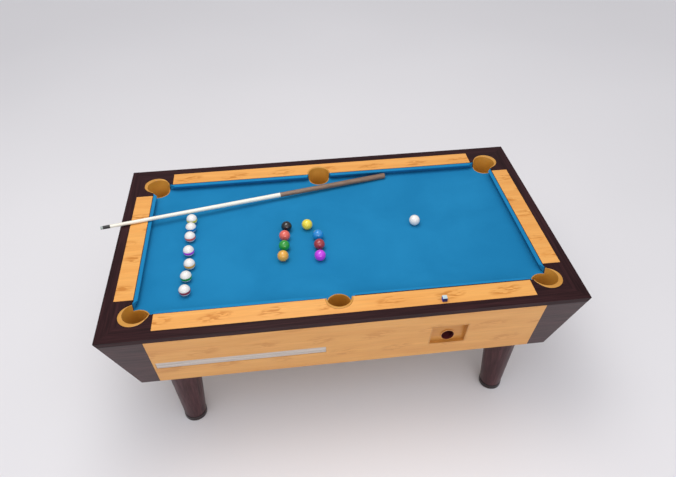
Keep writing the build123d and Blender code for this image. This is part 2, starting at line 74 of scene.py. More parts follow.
def place(nodes, links, scale):
    """Object coordinates times scale along each axis, so a small scale draws a pattern out."""
    coord = nodes.new("ShaderNodeTexCoord")
    mapping = nodes.new("ShaderNodeMapping")
    mapping.inputs["Scale"].default_value = scale
    links.new(coord.outputs["Object"], mapping.inputs["Vector"])
    return mapping.outputs["Vector"]


def axes_of(nodes, links):
    """The object coordinates as separate outputs X, Y and Z."""
    coord = nodes.new("ShaderNodeTexCoord")
    split = nodes.new("ShaderNodeSeparateXYZ")
    links.new(coord.outputs["Object"], split.inputs[0])
    return split.outputs


def noise_of(nodes, links, vector, scale, detail=2.0, rough=0.5, warp=0.0):
    """The value of a noise texture, which mostly lies between 0.3 and 0.7."""
    tex = nodes.new("ShaderNodeTexNoise")
    tex.inputs["Scale"].default_value = scale
    tex.inputs["Detail"].default_value = detail
    tex.inputs["Roughness"].default_value = rough
    tex.inputs["Distortion"].default_value = warp
    links.new(vector, tex.inputs["Vector"])
    return tex.outputs["Fac"]


def ramp_of(nodes, links, value, stops):
    """A colour ramp from (position, grey or colour) stops."""
    ramp = nodes.new("ShaderNodeValToRGB")
    points = ramp.color_ramp.elements
    while len(points) < len(stops):
        points.new(0.5)
    for point, (at, colour) in zip(points, stops):
        point.position = at
        grey = isinstance(colour, (int, float))
        point.color = (colour, colour, colour, 1) if grey else (*colour, 1)
    links.new(value, ramp.inputs["Fac"])
    return ramp.outputs["Color"]


def mix_of(nodes, links, share, a, b, blend="MIX"):
    """Mixes two colours, each a socket or a plain colour."""
    mix = nodes.new("ShaderNodeMix")
    mix.data_type = "RGBA"
    mix.blend_type = blend
    for value, socket in ((share, mix.inputs[0]), (a, mix.inputs[6]), (b, mix.inputs[7])):
        if isinstance(value, bpy.types.NodeSocket):
            links.new(value, socket)
        elif isinstance(value, (int, float)):
            socket.default_value = value
        else:
            socket.default_value = (*value, 1)
    return mix.outputs[2]


def maths(nodes, links, operation, a, b=0.0):
    """One step of arithmetic between two sockets or numbers."""
    node = nodes.new("ShaderNodeMath")
    node.operation = operation
    for value, socket in ((a, node.inputs[0]), (b, node.inputs[1])):
        if isinstance(value, bpy.types.NodeSocket):
            links.new(value, socket)
        else:
            socket.default_value = value
    return node.outputs[0]


def bump_of(nodes, links, shader, height, strength, distance):
    """Gives a shader a bump that stands distance metres out where height is 1."""
    bump = nodes.new("ShaderNodeBump")
    bump.inputs["Strength"].default_value = strength
    bump.inputs["Distance"].default_value = distance
    links.new(height, bump.inputs["Height"])
    links.new(bump.outputs["Normal"], shader.inputs["Normal"])


def stretched(along, fine, coarse):
    """The scales of a pattern that is coarse along one axis and fine across it."""
    return tuple(coarse if axis == along else fine for axis in "XYZ")


def tinted(tint, colour):
    """A colour times one factor, or times a factor for each channel."""
    factors = tint if isinstance(tint, tuple) else (tint, tint, tint)
    return tuple(factor * channel for factor, channel in zip(factors, colour))


# ---------------------------------------------------------------- materials


def dark_wood(name, along, tint=1.0, gloss=0.4, coat=0.15):
    """Lacquered wenge: near-black brown with fine open pores along the board."""
    mat, nodes, links, shader = new_material(name)
    grain = place(nodes, links, stretched(along, 150.0, 5.0))
    lines = noise_of(nodes, links, grain, 1.0, 5.0, 0.6, 0.4)
    broad = place(nodes, links, stretched(along, 26.0, 1.6))
    bands = noise_of(nodes, links, broad, 1.0, 3.0, 0.55, 0.8)
    dark = tinted(tint, (0.024, 0.0080, 0.0095))
    mid = tinted(tint, (0.045, 0.0155, 0.0180))
    light = tinted(tint, (0.072, 0.0265, 0.0280))
    base = ramp_of(nodes, links, lines, [(0.30, dark), (0.52, mid), (0.78, light)])
    shade = ramp_of(nodes, links, bands, [(0.35, 0.72), (0.65, 1.18)])
    links.new(mix_of(nodes, links, 1.0, base, shade, "MULTIPLY"), shader.inputs["Base Color"])
    links.new(ramp_of(nodes, links, lines, [(0.3, 0.42), (0.7, 0.30)]), shader.inputs["Roughness"])
    shader.inputs["Specular IOR Level"].default_value = gloss
    shader.inputs["Coat Weight"].default_value = coat
    shader.inputs["Coat Roughness"].default_value = 0.22
    bump_of(nodes, links, shader, lines, 0.25, 0.0006)
    return mat


# The flecks in the light wood stand in zones, one to each cell of a staggered grid.
FLECK_CELL = 0.27
FLECK_ROW = 0.11
FLECK_ROW_START = 0.022
# The rest is in shares of a cell.
FLECK_STAGGER = 0.37
FLECK_LEAN = -0.35
FLECK_HALF_LENGTH = 0.30
FLECK_HALF_HEIGHT = 0.27


def fleck_zones(nodes, links):
    """1 inside each leaning oval zone of flecks, falling to 0 at its feathered edge."""

    def calc(operation, a, b=0.0):
        return maths(nodes, links, operation, a, b)

    axes = axes_of(nodes, links)
    across = calc("ADD", calc("ADD", axes["Y"], axes["Z"]), FLECK_ROW_START)
    row = calc("DIVIDE", across, FLECK_ROW)
    row_index = calc("FLOOR", row)
    column = calc("DIVIDE", axes["X"], FLECK_CELL)
    column = calc("ADD", column, calc("MULTIPLY", row_index, FLECK_STAGGER))
    from_middle = calc("SUBTRACT", calc("SUBTRACT", column, calc("FLOOR", column)), 0.5)
    off_x = calc("DIVIDE", from_middle, FLECK_HALF_LENGTH)
    off_y = calc("SUBTRACT", calc("SUBTRACT", row, row_index), 0.5)
    off_y = calc("ADD", off_y, calc("MULTIPLY", from_middle, FLECK_LEAN))
    off_y = calc("DIVIDE", off_y, FLECK_HALF_HEIGHT)
    spread = calc("ADD", calc("MULTIPLY", off_x, off_x), calc("MULTIPLY", off_y, off_y))
    return ramp_of(nodes, links, calc("MULTIPLY", spread, 0.5), [(0.15, 1.0), (0.62, 0.0)])


def light_wood(name, tint=1.0, marks=1.0):
    """Lacquered honey maple: soft bands along X and feathered groups of short darker flecks."""
    mat, nodes, links, shader = new_material(name)
    broad = noise_of(nodes, links, place(nodes, links, (1.5, 16.0, 16.0)), 1.0, 3.0, 0.5, 0.6)
    fine = noise_of(nodes, links, place(nodes, links, (7.0, 170.0, 170.0)), 1.0, 4.0, 0.6, 0.3)
    pale = tinted(tint, (0.83, 0.400, 0.095))
    warm = tinted(tint, (0.77, 0.340, 0.070))
    fleck = tinted(tint, (0.56, 0.205, 0.022))
    base = ramp_of(nodes, links, broad, [(0.35, warm), (0.65, pale)])
    lines = ramp_of(nodes, links, fine, [(0.3, 0.90), (0.7, 1.04)])
    base = mix_of(nodes, links, 1.0, base, lines, "MULTIPLY")
    strokes = noise_of(nodes, links, place(nodes, links, (13.0, 62.0, 62.0)), 1.0, 2.0, 0.45, 1.2)
    mark = ramp_of(nodes, links, strokes, [(0.46, 0.0), (0.56, 1.0)])
    share = maths(nodes, links, "MULTIPLY", fleck_zones(nodes, links), mark)
    share = maths(nodes, links, "MULTIPLY", share, marks)
    links.new(mix_of(nodes, links, share, base, fleck), shader.inputs["Base Color"])
    links.new(ramp_of(nodes, links, fine, [(0.3, 0.40), (0.7, 0.32)]), shader.inputs["Roughness"])
    shader.inputs["Coat Weight"].default_value = 0.2
    shader.inputs["Coat Roughness"].default_value = 0.25
    bump_of(nodes, links, shader, fine, 0.12, 0.0005)
    return mat


def cloth(name, tint=1.0):
    """Worsted billiard cloth: close weave, a short nap and faint chalky wear."""
    mat, nodes, links, shader = new_material(name)
    vector = place(nodes, links, (1.0, 1.0, 1.0))
    wear = noise_of(nodes, links, vector, 3.0, 4.0, 0.55, 0.4)
    weave = noise_of(nodes, links, place(nodes, links, (900.0, 1100.0, 1000.0)), 1.0, 2.0, 0.6)
    low = tinted(tint, (0.0065, 0.180, 0.385))
    high = tinted(tint, (0.0100, 0.206, 0.428))
    base = ramp_of(nodes, links, wear, [(0.35, low), (0.65, high)])
    threads = ramp_of(nodes, links, weave, [(0.3, 0.90), (0.7, 1.08)])
    links.new(mix_of(nodes, links, 1.0, base, threads, "MULTIPLY"), shader.inputs["Base Color"])
    shader.inputs["Roughness"].default_value = 0.88
    shader.inputs["Specular IOR Level"].default_value = 0.15
    shader.inputs["Sheen Weight"].default_value = 0.05
    shader.inputs["Sheen Roughness"].default_value = 0.5
    shader.inputs["Sheen Tint"].default_value = (0.30, 0.65, 0.95, 1)
    bump_of(nodes, links, shader, weave, 0.35, 0.0004)
    return mat


def moulded(name, low, high, rough=0.45, scale=60.0, coat=0.0, bump=0.08):
    """Moulded plastic or rubber: two close tones, fine texture, varied gloss."""
    mat, nodes, links, shader = new_material(name)
    vector = place(nodes, links, (1.0, 1.0, 1.0))
    tone = noise_of(nodes, links, vector, scale / 4, 3.0, 0.5)
    grit = noise_of(nodes, links, vector, scale * 10, 2.0, 0.6)
    links.new(ramp_of(nodes, links, tone, [(0.35, low), (0.65, high)]), shader.inputs["Base Color"])
    stops = [(0.3, max(0.02, rough - 0.06)), (0.7, rough + 0.06)]
    links.new(ramp_of(nodes, links, tone, stops), shader.inputs["Roughness"])
    shader.inputs["Coat Weight"].default_value = coat
    shader.inputs["Coat Roughness"].default_value = 0.1
    bump_of(nodes, links, shader, grit, bump, 0.0004)
    return mat


def plain_board(name, low, high, rough=0.75, coat=0.0):
    """Bare or lacquered board with a soft grain along X."""
    mat, nodes, links, shader = new_material(name)
    grain = noise_of(nodes, links, place(nodes, links, (5.0, 90.0, 90.0)), 1.0, 4.0, 0.6, 0.5)
    links.new(ramp_of(nodes, links, grain, [(0.3, low), (0.7, high)]), shader.inputs["Base Color"])
    shader.inputs["Roughness"].default_value = rough
    shader.inputs["Coat Weight"].default_value = coat
    shader.inputs["Coat Roughness"].default_value = 0.08
    bump_of(nodes, links, shader, grain, 0.2, 0.0006)
    return mat


# A stripe's half height as a share of the ball's radius, and how far out it has faded.
STRIPE_HALF, STRIPE_EDGE = 0.235, 0.260


def ball_material(name, colour, stripe=None):
    """Polished phenolic resin, plain or with one level band of colour, faintly scuffed."""
    mat, nodes, links, shader = new_material(name)
    vector = place(nodes, links, (1.0, 1.0, 1.0))
    cloud = noise_of(nodes, links, vector, 90.0, 3.0, 0.5)
    shade = ramp_of(nodes, links, cloud, [(0.3, 0.94), (0.7, 1.03)])
    base = mix_of(nodes, links, 1.0, colour, shade, "MULTIPLY")
    if stripe:
        height = maths(nodes, links, "SUBTRACT", axes_of(nodes, links)["Z"], BALL_Z)
        height = maths(nodes, links, "ABSOLUTE", height)
        height = maths(nodes, links, "DIVIDE", height, BALL_R)
        share = ramp_of(nodes, links, height, [(STRIPE_HALF, 1.0), (STRIPE_EDGE, 0.0)])
        base = mix_of(nodes, links, share, base, stripe)
    links.new(base, shader.inputs["Base Color"])
    scuff = noise_of(nodes, links, vector, 260.0, 4.0, 0.65)
    links.new(ramp_of(nodes, links, scuff, [(0.4, 0.10), (0.75, 0.22)]), shader.inputs["Roughness"])
    shader.inputs["Coat Weight"].default_value = 0.6
    shader.inputs["Coat Roughness"].default_value = 0.04
    return mat


def acrylic(name):
    """Frosted acrylic strip, scratched by cleaning."""
    mat, nodes, links, shader = new_material(name)
    scratch = noise_of(nodes, links, place(nodes, links, (4.0, 300.0, 300.0)), 1.0, 3.0, 0.6)
    tones = [(0.3, (0.58, 0.52, 0.46)), (0.7, (0.66, 0.60, 0.54))]
    links.new(ramp_of(nodes, links, scratch, tones), shader.inputs["Base Color"])
    links.new(ramp_of(nodes, links, scratch, [(0.3, 0.22), (0.7, 0.34)]), shader.inputs["Roughness"])
    shader.inputs["Transmission Weight"].default_value = 0.15
    shader.inputs["IOR"].default_value = 1.49
    return mat


def steel(name):
    """Zinc-plated steel, finely brushed."""
    mat, nodes, links, shader = new_material(name)
    brushed = noise_of(nodes, links, place(nodes, links, (300.0, 300.0, 40.0)), 1.0, 3.0, 0.6)
    tones = [(0.3, (0.42, 0.42, 0.43)), (0.7, (0.62, 0.62, 0.64))]
    links.new(ramp_of(nodes, links, brushed, tones), shader.inputs["Base Color"])
    shader.inputs["Metallic"].default_value = 1.0
    shader.inputs["Roughness"].default_value = 0.35
    bump_of(nodes, links, shader, brushed, 0.1, 0.0002)
    return mat


def stone(name, low, high):
    """Honed slate in level layers."""
    mat, nodes, links, shader = new_material(name)
    vector = place(nodes, links, (1.0, 1.0, 6.0))
    layers = noise_of(nodes, links, vector, 8.0, 5.0, 0.6, 0.5)
    links.new(ramp_of(nodes, links, layers, [(0.3, low), (0.7, high)]), shader.inputs["Base Color"])
    shader.inputs["Roughness"].default_value = 0.7
    bump_of(nodes, links, shader, layers, 0.2, 0.0006)
    return mat


DARK_X = dark_wood("wenge_x", "X")
DARK_Y = dark_wood("wenge_y", "Y")
# The legs wear the wenge lightened by 1.35 with less gloss: the lightening is painted light on the
# legs.
DARK_Z_LIT = dark_wood("wenge_z_painted_light", "Z", 1.35, 0.2, 0.08)
# The rail tops wear the wenge darkened to 0.65 with less gloss: the darkening is painted shade on the
# tops.
TOP_X_SHADED = dark_wood("wenge_top_x_painted_shade", "X", 0.65, 0.10, 0.03)
TOP_Y_SHADED = dark_wood("wenge_top_y_painted_shade", "Y", 0.65, 0.10, 0.03)
LIGHT = light_wood("maple")
# The aprons wear the maple darkened a little, with fewer flecks: the darkening is painted shade on the
# upright panels.
APRON_SHADED = light_wood("maple_panel", (0.90, 0.93, 0.95), 0.5)
# The return box wears the maple darkened to 0.74, with fewer flecks: painted shade in the recess.
MAPLE_RECESS_SHADED = light_wood("maple_box_painted_shade", (0.74, 0.74, 0.72), 0.3)
BLUE = cloth("blue_cloth")
# The cushions wear the cloth lightened by 1.05: painted light on the cushion tops.
BLUE_NOSE_LIT = cloth("blue_cloth_cushion_painted_light", 1.05)
TAN = moulded("pocket_tan", (0.52, 0.235, 0.030), (0.62, 0.30, 0.048), 0.34, 40.0, 0.35)
FOOT = moulded("foot_dark", (0.009, 0.0020, 0.0030), (0.015, 0.0035, 0.0045), 0.40, 50.0, 0.1)
LINING = moulded("dark_red_lining", (0.085, 0.010, 0.014), (0.13, 0.018, 0.022), 0.55, 60.0)
BOARD = plain_board("plain_board", (0.36, 0.23, 0.12), (0.47, 0.31, 0.17))
SLATE = stone("slate", (0.075, 0.08, 0.085), (0.12, 0.125, 0.13))
STEEL = steel("zinc_steel")
WINDOW = acrylic("frosted_acrylic")

# ---------------------------------------------------------------- meshes

WELD = 1e-5
FLAT_ANGLE = math.radians(0.5)
SHARP_ANGLE = math.radians(25)


def finish_piece(name, mesh, body, mats, smooth_angle=35.0):
    """Links a mesh as a piece that rides on a body, shaded smooth up to smooth_angle."""
    for mat in mats if isinstance(mats, list) else [mats]:
        mesh.materials.append(mat)
    mesh.shade_smooth()
    mesh.set_sharp_from_angle(angle=math.radians(smooth_angle))
    piece = bpy.data.objects.new(name, mesh)
    scene.collection.objects.link(piece)
    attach(piece, body)
    return piece


def from_bmesh(bm, name):
    """A fresh mesh with only the shape and material slots of bm, which is freed."""
    mesh = bpy.data.meshes.new(name)
    bm.verts.index_update()
    points = [v.co.copy() for v in bm.verts]
    faces = [[v.index for v in f.verts] for f in bm.faces]
    slots = [f.material_index for f in bm.faces]
    mesh.from_pydata(points, [], faces)
    mesh.polygons.foreach_set("material_index", slots)
    mesh.update()
    bm.free()
    return mesh


def eased(node, name, mats, bevel, body=TABLE, segments=2, paint=None):
    """Stands for a hard CAD node: its own shape with every sharp edge eased by a bevel.

    paint, where given, takes a face and returns which of the materials it wears."""
    bm = bmesh.new()
    bm.from_mesh(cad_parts[node].data)
    bmesh.ops.remove_doubles(bm, verts=bm.verts, dist=WELD)
    bmesh.ops.dissolve_limit(bm, angle_limit=FLAT_ANGLE, verts=bm.verts, edges=bm.edges)
    sharp = [e for e in bm.edges if len(e.link_faces) == 2 and e.calc_face_angle(0) > SHARP_ANGLE]
    bmesh.ops.bevel(
        bm, geom=sharp, offset=bevel, offset_type="OFFSET", segments=segments,
        profile=0.6, affect="EDGES", clamp_overlap=True,
    )
    bmesh.ops.dissolve_degenerate(bm, dist=1e-6, edges=bm.edges)
    if paint:
        for face in bm.faces:
            face.material_index = paint(face)
    mesh = from_bmesh(bm, name)
    piece = finish_piece(name, mesh, body, mats)
    weighted = piece.modifiers.new("weighted", "WEIGHTED_NORMAL")
    weighted.keep_sharp = True
    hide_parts(node)
    return piece


def round_edges(piece, width, segments, angle):
    """Rounds the edges of a finished piece where its faces turn by more than angle degrees."""
    bevel = piece.modifiers.new("round_edges", "BEVEL")
    bevel.width = width
    bevel.segments = segments
    bevel.limit_method = "ANGLE"
    bevel.angle_limit = math.radians(angle)


# ---------------------------------------------------------------- rails, inlays and cabinet

for node in ("rail_front", "rail_back"):
    eased(node, f"{node}_board", TOP_X_SHADED, bevel=0.0015)
for node in ("rail_end_left", "rail_end_right"):
    eased(node, f"{node}_board", TOP_Y_SHADED, bevel=0.0015)
for node in ("inlay_front", "inlay_back", "inlay_ends"):
    eased(node, f"{node}_strip", LIGHT, bevel=0.0005, segments=1)
for node in ("apron_front", "apron_back"):
    eased(node, f"{node}_panel", APRON_SHADED, bevel=0.0012)
for node in ("end_panel_left", "end_panel_right"):
    eased(node, f"{node}_board", DARK_Y, bevel=0.0012)
eased("corner_posts", "corner_post_boards", DARK_X, bevel=0.0012)
eased("legs", "turned_legs", DARK_Z_LIT, bevel=0.003)
eased("return_box", "return_box_shaded_maple", MAPLE_RECESS_SHADED, bevel=0.0010)
eased("chute_sleeve", "chute_lining", LINING, bevel=0.0004)
eased("window", "window_strip", WINDOW, bevel=0.0006)
for corner in ("front_left", "back_left", "front_right", "back_right"):
    name, body = f"foot_pad_{corner}", f"foot_{corner}_pad"
    eased(f"foot_{corner}", name, FOOT, bevel=0.0012, body=body)

# ---------------------------------------------------------------- pocket cups

TURN_STEPS = 128


def lathe(profile, centre):
    """A closed ring: an outline of (radius, height) points turned about the vertical."""
    bm = bmesh.new()
    rings = []
    for k in range(TURN_STEPS):
        a = math.tau * k / TURN_STEPS
        spoke = Vector((math.cos(a), math.sin(a), 0))
        rings.append([bm.verts.new(centre + spoke * r + Vector((0, 0, z))) for r, z in profile])
    count = len(profile)
    for k in range(TURN_STEPS):
        near, far = rings[k], rings[(k + 1) % TURN_STEPS]
        for i in range(count):
            bm.faces.new((near[i], far[i], far[(i + 1) % count], near[(i + 1) % count]))
    bmesh.ops.recalc_face_normals(bm, faces=bm.faces)
    return bm


def box_shape(low, high):
    """A box between two corners."""
    bm = bmesh.new()
    bmesh.ops.create_cube(bm, size=1)
    low, high = Vector(low), Vector(high)
    bmesh.ops.scale(bm, verts=bm.verts, vec=high - low)
    bmesh.ops.translate(bm, verts=bm.verts, vec=(low + high) / 2)
    return bm


def drum_shape(x, y, radius, z0, z1):
    """An upright cylinder."""
    bm = bmesh.new()
    bmesh.ops.create_cone(
        bm, cap_ends=True, segments=TURN_STEPS, radius1=radius, radius2=radius, depth=z1 - z0,
    )
    bmesh.ops.translate(bm, verts=bm.verts, vec=(x, y, (z0 + z1) / 2))
    return bm


def helper(shape, name):
    """An object for combined(), which deletes it, from a bmesh or a mesh."""
    mesh = from_bmesh(shape, name) if isinstance(shape, bmesh.types.BMesh) else shape
    obj = bpy.data.objects.new(name, mesh)
    scene.collection.objects.link(obj)
    return obj


def combined(base, others):
    """The mesh of one helper after exact booleans with (operation, helper) pairs."""
    for operation, other in others:
        step = base.modifiers.new(operation, "BOOLEAN")
        step.operation = operation
        step.solver = "EXACT"
        step.object = other
    bpy.context.view_layer.update()
    shaped = base.evaluated_get(bpy.context.evaluated_depsgraph_get())
    mesh = bpy.data.meshes.new_from_object(shaped)
    mesh.materials.clear()
    for obj in [base] + [other for _, other in others]:
        bpy.data.objects.remove(obj)
    return mesh


def arc(centre_r, centre_z, radius, start, end, steps=4):
    """Points of a round in an outline. Angles are in degrees from outwards, up."""
    points = []
    for k in range(steps + 1):
        a = math.radians(start + (end - start) * k / steps)
        points.append((centre_r + radius * math.cos(a), centre_z + radius * math.sin(a)))
    return points


# The middles of the pockets' rims, as in the CAD model. A hole is set in from its rim
# towards the bed: by CORNER_SHIFT along both axes, or by SIDE_SHIFT along Y.
CORNER_X, CORNER_Y = 0.975, 0.504
CORNER_RIM_R, CORNER_HOLE_R = 0.067, 0.060
CORNER_SHIFT = 0.015 / math.sqrt(2)
SIDE_X, SIDE_Y = -0.035, 0.512
SIDE_RIM_R, SIDE_HOLE_R = 0.065, 0.059
SIDE_SHIFT = 0.006
CUP_WALL = 0.004
CUP_BOTTOM_R = 0.0455
CUP_BOTTOM_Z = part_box("pocket_front_side")[0].z
RIM_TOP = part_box("pocket_front_side")[1].z
RIM_THICK = 0.0035
ROUND = 0.0014
# The turned flange and funnel stop this far short of the axis.
FLANGE_CORE, FUNNEL_CORE = 0.02, 0.001
# The funnel is this much narrower at its foot than the hole.
FUNNEL_DRAFT = 0.0006
# The line where the cushions meet the rails, and how far past it a cup is cut away.
MOUTH_GAP = 0.0005
INNER_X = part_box("cushion_end_right")[1].x
INNER_Y = -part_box("cushion_front_left")[0].y
CORNERS = {"front_left": (-1, -1), "front_right": (1, -1), "back_left": (-1, 1), "back_right": (1, 1)}
SIDES = {"front_side": -1, "back_side": 1}


def cup_mesh(name, rim_at, rim_r, hole_at, hole_r, reach_x):
    """A conical moulded cup under a flat rounded flange, cut away above the bed."""
    outer = hole_r + CUP_WALL
    cone = [(CUP_BOTTOM_R, CUP_BOTTOM_Z)]
    cone += arc(outer - ROUND, RAIL_TOP - ROUND, ROUND, 0, 90)
    cone += arc(hole_r + ROUND, RAIL_TOP - ROUND, ROUND, 90, 180)
    cone += [(CUP_BOTTOM_R - CUP_WALL, CUP_BOTTOM_Z)]
    cup = helper(lathe(cone, hole_at), f"{name}_cone")

    rim_bottom = RIM_TOP - RIM_THICK
    flat = [(FLANGE_CORE, rim_bottom), (rim_r - ROUND, rim_bottom)]
    flat += arc(rim_r - ROUND, RIM_TOP - ROUND, ROUND, 0, 90)
    flat += [(FLANGE_CORE, RIM_TOP)]
    flange = helper(lathe(flat, rim_at), f"{name}_flange")

    funnel_bottom = RIM_TOP - 3 * RIM_THICK
    funnel_top = RIM_TOP + RIM_THICK
    funnel = [(FUNNEL_CORE, funnel_bottom), (hole_r - FUNNEL_DRAFT, funnel_bottom)]
    funnel += arc(hole_r + ROUND, RIM_TOP - ROUND, ROUND, 180, 90)
    funnel += [(hole_r + ROUND, funnel_top), (FUNNEL_CORE, funnel_top)]
    hollow = helper(lathe(funnel, hole_at), f"{name}_funnel")
    flange = helper(combined(flange, [("DIFFERENCE", hollow)]), f"{name}_hollow_flange")

    reach_y = INNER_Y + MOUTH_GAP
    above = 2 * RAIL_TOP - BED_TOP
    mouth = helper(box_shape((-reach_x, -reach_y, BED_TOP), (reach_x, reach_y, above)), f"{name}_mouth")
    return combined(cup, [("UNION", flange), ("DIFFERENCE", mouth)])


def cup_piece(name, rim_at, rim_r, hole_at, hole_r, reach_x):
    """A pocket cup with its last sharp edges softened."""
    mesh = cup_mesh(name, rim_at, rim_r, hole_at, hole_r, reach_x)
    piece = finish_piece(f"cup_{name}", mesh, TABLE, TAN, 40.0)
    round_edges(piece, width=0.0006, segments=2, angle=50)
    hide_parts(f"pocket_{name}")


for name, (sx, sy) in CORNERS.items():
    rim_at = Vector((sx * CORNER_X, sy * CORNER_Y, 0))
    hole_at = rim_at - Vector((sx * CORNER_SHIFT, sy * CORNER_SHIFT, 0))
    cup_piece(name, rim_at, CORNER_RIM_R, hole_at, CORNER_HOLE_R, INNER_X + MOUTH_GAP)
for name, sy in SIDES.items():
    rim_at = Vector((SIDE_X, sy * SIDE_Y, 0))
    hole_at = rim_at - Vector((0, sy * SIDE_SHIFT, 0))
    cup_piece(name, rim_at, SIDE_RIM_R, hole_at, SIDE_HOLE_R, HALF_LENGTH)

# ---------------------------------------------------------------- balls

WHITE = (0.80, 0.79, 0.76)
BLACK = (0.008, 0.008, 0.010)
# Balls 1 to 7 are plain, and balls 9 to 15 wear the same colours as a band on white.
BALL_COLOURS = {
    "yellow": (0.80, 0.68, 0.05),
    "blue": (0.010, 0.24, 0.62),
    "coral": (0.72, 0.12, 0.09),
    "magenta": (0.52, 0.04, 0.72),
    "gold": (0.74, 0.38, 0.05),
    "green": (0.015, 0.30, 0.03),
    "maroon": (0.33, 0.03, 0.04),
}
ball_finish = {"ball_cue": ("ball_white", ball_material("ball_white", WHITE))}
for number, (word, colour) in enumerate(BALL_COLOURS.items(), 1):
    slot = f"ball_{word}"
    ball_finish[f"ball_{number:02d}"] = (slot, ball_material(slot, colour))
    slot = f"ball_stripe_{word}"
    ball_finish[f"ball_{number + 8:02d}"] = (slot, ball_material(slot, WHITE, colour))
ball_finish["ball_08"] = ("ball_black", ball_material("ball_black", BLACK))


def ball_piece(node, mat):
    """A smooth ball where its CAD ball lies, loose on a body of its own."""
    low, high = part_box(node)
    bm = bmesh.new()
    bmesh.ops.create_icosphere(bm, subdivisions=5, radius=BALL_R)
    bmesh.ops.translate(bm, verts=bm.verts, vec=(low + high) / 2)
    piece = finish_piece(f"{node}_sphere", from_bmesh(bm, node), f"{node}_loose", mat, 180.0)
    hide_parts(node)


for node, (slot, mat) in ball_finish.items():
    ball_piece(node, mat)

# ---------------------------------------------------------------- cue and chalk

SHAFT = plain_board("cue_maple", (0.76, 0.74, 0.62), (0.85, 0.83, 0.73), 0.3, 0.5)
BUTT = plain_board("cue_butt", (0.150, 0.085, 0.050), (0.26, 0.155, 0.095), 0.3, 0.5)
FERRULE = moulded("ferrule", (0.005, 0.005, 0.006), (0.010, 0.010, 0.011), 0.35, 60.0, 0.1)
TIP = moulded("cue_tip", (0.38, 0.44, 0.42), (0.50, 0.55, 0.53), 0.8, 80.0)
CHALK_TOP = moulded("chalk_top", (0.42, 0.55, 0.60), (0.55, 0.66, 0.68), 0.9, 80.0, 0.0, 0.3)
CHALK_LABEL = moulded("chalk_label", (0.010, 0.012, 0.10), (0.016, 0.018, 0.14), 0.6, 80.0)
CHALK = moulded("chalk_blue", (0.015, 0.03, 0.45), (0.03, 0.06, 0.62), 0.85, 80.0, 0.0, 0.3)
for node, name, slot, mat, bevel, segments in (
    ("cue_butt", "cue_butt_turned", "cue_butt_wood", BUTT, 0.002, 2),
    ("cue_shaft", "cue_shaft_turned", "cue_maple", SHAFT, 0.0002, 1),
    ("cue_ferrule", "cue_ferrule_ring", "ferrule_black", FERRULE, 0.0002, 1),
    ("cue_tip", "cue_tip_leather", "tip_leather", TIP, 0.002, 3),
):
    eased(node, name, mat, bevel, body="cue", segments=segments)


def chalk_face(face):
    """Worn chalk on top, a dark label at the front and back, and blue elsewhere."""
    if face.normal.z > 0.3:
        return 1
    return 2 if abs(face.normal.y) > 0.8 else 0


chalk_finish = [CHALK, CHALK_TOP, CHALK_LABEL]
eased(
    "chalk_cube", "chalk_block", chalk_finish, bevel=0.0008, body="chalk",
    paint=chalk_face,
)

# ---------------------------------------------------------------- cloth covered cushions

# A cushion's outline: heights are over the bed, reaches are from the rail, and LIP_DROP is
# how far its top line starts below the rail's.
LIP_DROP = 0.0022
CROWN = 0.0006
NOSE_Z, NOSE_R = 0.0323, 0.0040
HEEL_REACH, HEEL_Z = 0.002, 0.0006
UNDER_SAG = 0.0010
# How far the nose stops short of the back at a cushion's end: beside a side pocket, and
# beside a corner pocket on the long and the short sides of the table.
SIDE_RAKE = 0.007
CORNER_RAKES = (0.030, 0.025)
BESIDE_POCKET = 0.2
CUSHION_STEPS = 64

# Dark wood strips beside the cushions stand in for the shadow line where a cushion meets its rail:
# painted shadow. The front right one is twice as wide.
STRIP_WIDTH, WIDE_STRIP = 0.0030, 0.0060
STRIP_SHORT = 0.012
STRIP_SINK, STRIP_RISE = 0.0012, 0.0008


def cushion_section(depth):
    """A cushion's outline of (reach, height) points: crowned top, round nose, sagging underside."""
    back_top = RAIL_TOP - BED_TOP - LIP_DROP
    points = [(0.0, HEEL_Z), (0.0, back_top)]
    for k in range(1, 8):
        t = k / 8
        crown = CROWN * math.sin(math.pi * t)
        points.append((t * (depth - NOSE_R), back_top + crown))
    points += arc(depth - NOSE_R, NOSE_Z, NOSE_R, 90, -60, 9)
    under_r, under_z = points[-1]
    for k in range(1, 6):
        t = k / 6
        sag = UNDER_SAG * math.sin(math.pi * t)
        reach = under_r + (HEEL_REACH - under_r) * t - sag
        height = under_z + (HEEL_Z - under_z) * t + sag
        points.append((reach, height))
    return points


def cushion_place(node):
    """A cushion's box, its long axis and the one across it, its side of the bed, its back line."""
    low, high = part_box(node)
    run = 0 if high.x - low.x > high.y - low.y else 1
    across = 1 - run
    side = 1 if low[across] + high[across] > 0 else -1
    back = high[across] if side > 0 else low[across]
    return low, high, run, across, side, back


def end_rake(run, at):
    """How far the nose stops short of a cushion's end, which is at that place along it."""
    beside_side_pocket = run == 0 and abs(at - SIDE_X) < BESIDE_POCKET
    return SIDE_RAKE if beside_side_pocket else CORNER_RAKES[run]


